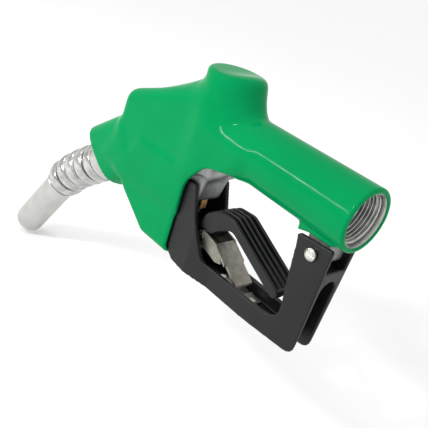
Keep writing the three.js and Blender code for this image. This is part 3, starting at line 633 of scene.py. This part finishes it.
def hand_cover():
    """A vinyl skin, open at the inlet, at the snout, under the head for the lever and under the rear boss."""
    inside = grown(COVER_FORM, -SHOWN_WALL)
    arch = slab([
        (-119.9, -130, 0), (-119.9, -37, 16), (-107, -20, 18),
        (-84, -15, 8), (-80, -23, 0), (-80, -130, 0),
    ], BEYOND)
    belly = slab([
        (-150, -70, 0), (-140, -12, 0), (-97, -12, 0), (-97, -89.4, 0), (-140, -89.4, 0),
    ], BELLY_HALF, edge=4)
    under_boss = slab([
        (-31.7, -19, 0), (-31.7, -40, 0), (-4.8, -40, 0), (-4.8, -19, 0),
    ], REAR_BOSS_HALF - 1.6)
    inlet = rod((-10, 0, 0), (10, 0, 0), THREAD_RADIUS + 0.5)
    shell = cut(COVER_FORM, inside, arch, belly, under_boss, inlet, half_space(RIM, MOUTH_NORMAL), blend=0.5)
    made = skin("cover_skin", shell, COVER_LOW, COVER_HIGH + Vector((0, 0, 1)), 1.0)
    return piece(made, "vinyl", "main", "hand_cover")


def across(place, radius):
    """A round hole right through along Y."""
    return rod((place.x, -30, place.z), (place.x, 30, place.z), radius)


def casting():
    """The metal body under the cover, with the boss above the lever and the lug behind it."""
    boss = slab([
        (-92, -8, 0), (-94, -21, 8), (-109, -33, 8),
        (-112, BOSS_BOTTOM, 4), (-128, BOSS_BOTTOM, 2), (-134, -10, 0),
    ], 12.2, edge=4)
    lug = slab([(-10, -10, 0), (-10, -34, 5), (-25, -34, 5), (-27, -10, 0)], 8.7, edge=0.8)
    shell = joined(cut(CASTING_FORM, half_space(RIM - MOUTH_NORMAL, MOUTH_NORMAL)), boss, blend=3)
    thread = rod((-THREAD_DEPTH, 0, 0), (5, 0, 0), THREAD_RADIUS)
    passage = rod((VALVE_X, 0, 0), (5, 0, 0), PASSAGE_RADIUS)
    disc_low, disc_high = box_of("poppet_disc")
    chamber_top = box_of("valve_cap")[0].z
    chamber = rod((VALVE_X, 0, disc_low.z - 0.2), (VALVE_X, 0, chamber_top), disc_high.y + 1.2)
    socket = rod(MOUTH - SOCKET_OUT * 30, MOUTH + SOCKET_OUT * 60, SOCKET_RADIUS)
    skirt_room = slab([(-300, -62, 0), (-119, -48, 0), (-119, -120, 0), (-300, -120, 0)], BEYOND)
    guard_plate = [(-150.3, -35.7, 0), (-150.3, -120, 0), (-100, -120, 0), (-100, -35.7, 0)]
    plates = [slab(guard_plate, 4, y=side * GUARD_PLATE_Y) for side in (-1, 1)]
    packing = rod((VALVE_X, 0, -60), (VALVE_X, 0, PACKING_TOP), PACKING_RADIUS)
    screw = across(REAR_SCREW, SCREW_HOLE_RADIUS)
    rooms = [thread, passage, chamber, socket, skirt_room, packing, screw, *plates]
    solid = cut(joined(shell, lug, blend=2), *rooms, blend=0.4)
    return piece(skin("casting_surface", solid, COVER_LOW, COVER_HIGH, 1.1), "casting", "main", "body")


hand_cover()
casting()


def inlet_thread():
    """The cut thread inside the inlet: a helical ridge on a bore, with a bright chamfer at its mouth."""
    sides, per_pitch, ridge = 128, 8, 1.5
    depth = THREAD_DEPTH - 1
    rows = int(depth / THREAD_PITCH * per_pitch)
    points = []
    for row, k in itertools.product(range(rows + 1), range(sides)):
        along = depth * row / rows
        phase = (along / THREAD_PITCH + k / sides) % 1
        tooth = min(1, 1.25 * (1 - abs(2 * phase - 1)))
        fade = min(1, max(0, (along - 2.2) / 2))
        chamfer = max(0, 1.6 - along) * 0.5
        radius = THREAD_RADIUS - 0.15 - ridge * tooth * fade + chamfer * 0.3
        angle = 2 * math.pi * k / sides
        points.append((-1.2 - along, radius * math.cos(angle), radius * math.sin(angle)))
    faces = []
    for row, k in itertools.product(range(rows), range(sides)):
        follow = (k + 1) % sides
        here, deeper = row * sides, (row + 1) * sides
        faces.append((here + k, deeper + k, deeper + follow, here + follow))
    made = mesh_object("inlet_thread", points, faces)
    thick = made.modifiers.new("wall", "SOLIDIFY")
    thick.thickness = 0.1 * MILLI
    return piece(made, "thread", "main")


def inlet_rim():
    """A bright turned ring around the mouth of the thread."""
    inner = THREAD_RADIUS - 0.6
    outer = THREAD_RADIUS + 0.4
    profile = [(inner, 4.2), (inner, 2.2), (inner + 0.7, 0.8), (outer, 0.8), (outer, 4.2)]
    return piece(turned("inlet_rim", profile, (0, 0, 0), (-1, 0, 0), 96), "thread", "main")


inlet_thread()
inlet_rim()


# ---- Spout ----
def spout():
    line = spout_line(60, start=-18)
    last = len(line) - 1

    def radius(i):
        return SPOUT_RADIUS - (0.5 if i == last else 0)

    made = swept("spout_tube", line, radius, SPOUT_WALL)
    return piece(made, "aluminium", "main", "spout")


BANDS = 5
SLEEVE_START, SLEEVE_END = 9.0, 71.0  # along the spout from the mouth
SLEEVE_WALL = 0.9
BAND_SHARE = 0.78  # of each repeat; the rest is a groove with a fine bead in it
BAND_RELIEF = 2.7
BEAD_START, BEAD_SHARE = 0.84, 0.1
BEAD_RELIEF = 1.5


def sleeve():
    """The ribbed sleeve: fat rounded bands with a fine bead in each groove between them."""
    steps, samples = 260, 400
    line = spout_line(samples)
    total = SPOUT_NECK + SPOUT_BEND_RADIUS * SOCKET_OUT.angle(TIP_OUT) + SPOUT_STRAIGHT
    places = [SLEEVE_START + (SLEEVE_END - SLEEVE_START) * i / steps for i in range(steps + 1)]
    chosen = [line[round(place / total * samples)] for place in places]
    groove = SPOUT_RADIUS + 0.6

    def radius(i):
        phase = (i / steps * BANDS) % 1
        if i in (0, steps):
            return groove
        if phase < BAND_SHARE:
            bulge = math.sqrt(max(0, 1 - (2 * phase / BAND_SHARE - 1) ** 2))
            return SPOUT_RADIUS + SLEEVE_WALL + BAND_RELIEF * bulge
        if BEAD_START < phase < BEAD_START + BEAD_SHARE:
            bulge = math.sin(math.pi * (phase - BEAD_START) / BEAD_SHARE)
            return SPOUT_RADIUS + SLEEVE_WALL + BEAD_RELIEF * bulge
        return groove

    return piece(swept("spout_bands", chosen, radius, 0.0, 96), "polished", "main", "spout_sleeve")


spout()
sleeve()


# ---- Lever guard ----
GUARD = [
    (-150, -36, 4), (-150, -84, 6), (-144, -86.5, 4),
    (-119.6, -86.5, 0), (-119.6, -89.5, 1), (-114, -93.3, 5),
    (-101, -95, 6), (-7, -95, 7), (-5.2, GUARD_HIGH.z, 2), (-31, GUARD_HIGH.z - 2, 2), (-29.6, -28, 4),
    (-22.5, -81, 11), (-91, -81, 10), (-104.5, -56, 16), (-111, -38.5, 2), (-112, -36, 1),
]


def guard_plan(trim):
    front, rear = GUARD_FRONT_HALF - trim, GUARD_HALF - trim
    return plan([
        (-160, front, 0), (-160, -front, 0), (-101, -front, 8), (-82, -rear, 8),
        (10, -rear, 0), (10, rear, 0), (-82, rear, 8), (-101, front, 8),
    ])


def lever_guard():
    body = common(slab(GUARD, GUARD_FRONT_HALF + 1), guard_plan(0))
    taper = [
        half_space((-45, side * GUARD_HALF, GUARD_LOW.z), (0.095, side, -0.053)) for side in (-1, 1)
    ]
    channel = common(
        slab([
            (-155, 0, 0), (-155, -100, 0), (-117, -100, 0), (-115, GUARD_FLOOR, 0),
            (-25.5, GUARD_FLOOR, 6), (-32, -36, 0), (-32, 0, 0),
        ], BEYOND),
        guard_plan(GUARD_WALL),
    )
    slot_half, slot_top = 7, -50
    slot = joined(
        slab([
            (-24.5, slot_top, 0), (-19.5, GUARD_FLOOR, 0), (-19.5, -110, 0), (10, -110, 0), (10, slot_top, 0),
        ], slot_half),
        rod((-25, 0, slot_top), (10, 0, slot_top), slot_half),
    )
    lug_gap = slab([(-40, -36, 0), (10, -36, 0), (10, 0, 0), (-40, 0, 0)], GUARD_HALF - GUARD_WALL)
    solid = cut(body, *taper, channel, slot, lug_gap, across(REAR_SCREW, SCREW_HOLE_RADIUS), blend=0.9)
    made = skin("guard_casting", solid, GUARD_LOW, GUARD_HIGH, 0.8)
    return piece(made, "black_paint", "main", "lever_guard")


lever_guard()


# ---- Squeeze lever ----
ARM = [
    (-102, -61, 2), (-102, -51, 8), (-92, -43.6, 9), (-78, -42.4, 9), (-28.5, -65.6, 2),
    (-31.5, -71, 3), (-77, -49.6, 8), (-88, -57, 5), (-92, -61, 2),
]
YOKE = [
    (-146, -84, 6), (-146, -70, 6), (-130, -62.8, 5), (-103, -62.8, 0), (-100, -58, 0),
    (-92, -58, 0), (-94, -66, 4), (-104, -72, 4), (-122, -77, 6), (-133, -84, 6),
]
TROUGH = [
    (-90, -30, 0), (-93, -42, 0), (-90, -46.2, 4), (-80, -46, 4),
    (-33.6, -66.2, 2), (-20, -50, 0), (-20, -30, 0),
]
LEVER_CHEEK = 2.2
YOKE_HALF = 8
FORK_HALF = 5.5
LEVER_PIN_HOLE = 2.9
CLIP_PIN_HOLE = 1.9
RIB_HALF = 0.8
RIB_SPACING = 4.6
LEVER_RIB = [(-95, -43, 0), (-79, -42.2, 0), (-30, -65.6, 0), (-30, -80, 0), (-95, -60, 0)]


def lever():
    """An arm with an open trough on top, ribs along the trough's floor, and a fork around the latch stem."""
    arm = slab(ARM, LEVER_HALF, edge=0.9)
    trough = slab(TROUGH, LEVER_HALF - LEVER_CHEEK)
    ribs = [slab(LEVER_RIB, RIB_HALF, edge=0.4, y=y) for y in (-RIB_SPACING, 0, RIB_SPACING)]
    kept_ribs = [common(rib, slab(ARM, LEVER_HALF)) for rib in ribs]
    ribbed = joined(cut(arm, trough, blend=0.6), *kept_ribs, blend=0.8)
    yoke = slab(YOKE, YOKE_HALF, edge=0.6)
    fork = slab([(-160, -100, 0), (-160, -50, 0), (-126, -50, 0), (-126, -100, 0)], FORK_HALF)
    ear = [(-110, -62, 0), (-112, -90, 0), (-80, -90, 0), (-80, -62, 0)]
    clip_room = [slab(ear, 3, y=side * (YOKE_HALF + 0.6)) for side in (-1, 1)]
    pin = across(LEVER_PIVOT, LEVER_PIN_HOLE)
    clip_pin = across(CLIP_PIVOT, CLIP_PIN_HOLE)
    solid = cut(joined(ribbed, yoke, blend=1), fork, *clip_room, pin, clip_pin, blend=0.5)
    low, high = box_of("lever")
    return piece(skin("lever_arm", solid, low, high, 0.6), "black_paint", "lever", "lever")


lever()


# ---- CAD nodes that keep their own shape ----
CAD_FINISH = {entry["node"]: entry["material_slot"] for entry in frame["record"]["subparts"]}
LIKE_CLIP = {"hold_open_clip", "hold_open_rack"}
BEVELLED = LIKE_CLIP | {"packing_nut", "rear_nut", "rear_screw", "valve_cap"}
for node, obj in frame["nodes"].items():
    dress(obj, "clip_steel" if node in LIKE_CLIP else CAD_FINISH[node])
    if node in BEVELLED:
        softened(obj, 0.2, 2)


# ---- Studio ----
def studio_floor():
    size, drop = 30.0, 0.004
    low = cad_box[0].z - drop
    shape = bmesh.new()
    corners = [shape.verts.new((x * size, y * size, low)) for x, y in ((-1, -1), (1, -1), (1, 1), (-1, 1))]
    shape.faces.new(corners)
    mesh = bpy.data.meshes.new("floor")
    shape.to_mesh(mesh)
    shape.free()
    floor = bpy.data.objects.new("floor", mesh)
    bpy.context.scene.collection.objects.link(floor)
    paint = Finish("floor paint", 0.9, Specular_IOR_Level=0.0)
    paint.colour(paint.mixed(paint.noise(300), (0.88, 0.88, 0.88), (0.9, 0.9, 0.9)))
    floor.data.materials.append(paint.material)


def light(name, kind, energy, toward, target=(0, 0, 0), distance=1.0, **settings):
    """A lamp that stands in a direction from a target and faces it."""
    lamp = bpy.data.lights.new(name, kind)
    lamp.energy = energy
    for setting, value in settings.items():
        setattr(lamp, setting, value)
    obj = bpy.data.objects.new(name, lamp)
    back = Vector(toward).normalized()
    obj.location = Vector(target) + back * distance
    obj.rotation_euler = back.to_track_quat("Z", "Y").to_euler()
    bpy.context.scene.collection.objects.link(obj)


def camera():
    """A camera at the photo's view angle, set square from two of its directions."""
    view = bpy.data.cameras.new("camera")
    view.sensor_width = 36
    view.lens = 58.8785
    obj = bpy.data.objects.new("camera", view)
    right = Vector((0.647, 0.707, 0.284))
    down = Vector((0.494, -0.106, -0.863))
    ahead = right.cross(down).normalized()
    right = down.cross(ahead).normalized()
    down = ahead.cross(right)
    turn = Matrix((right, -down, -ahead)).transposed().to_4x4()
    obj.matrix_world = Matrix.Translation(Vector((0.1624, -0.3202, 0.1375))) @ turn
    bpy.context.scene.collection.objects.link(obj)
    bpy.context.scene.camera = obj


def studio():
    world = bpy.data.worlds.new("studio")
    world.use_nodes = True
    backdrop = world.node_tree.nodes["Background"]
    backdrop.inputs["Color"].default_value = (1, 1, 1, 1)
    backdrop.inputs["Strength"].default_value = 0.95
    bpy.context.scene.world = world
    bpy.context.scene.view_settings.view_transform = "Standard"
    centre = (cad_box[0] + cad_box[1]) / 2
    light("sky", "SUN", 0.35, (-0.3, -0.5, 1), angle=math.radians(80))
    handle = Vector((-30, -18, 7)) * MILLI
    light("strip", "AREA", 2.6, (-0.505, -0.82, 0.27), handle, 0.9, shape="RECTANGLE", size=0.3, size_y=0.014)
    light("window", "AREA", 2.6, (-0.1, -0.85, 0.75), centre, 0.9, shape="RECTANGLE", size=0.06, size_y=0.1)
    light("kicker", "AREA", 0.8, (-0.8, -0.3, 0.6), centre, 0.9, size=0.05)


studio_floor()
studio()
camera()
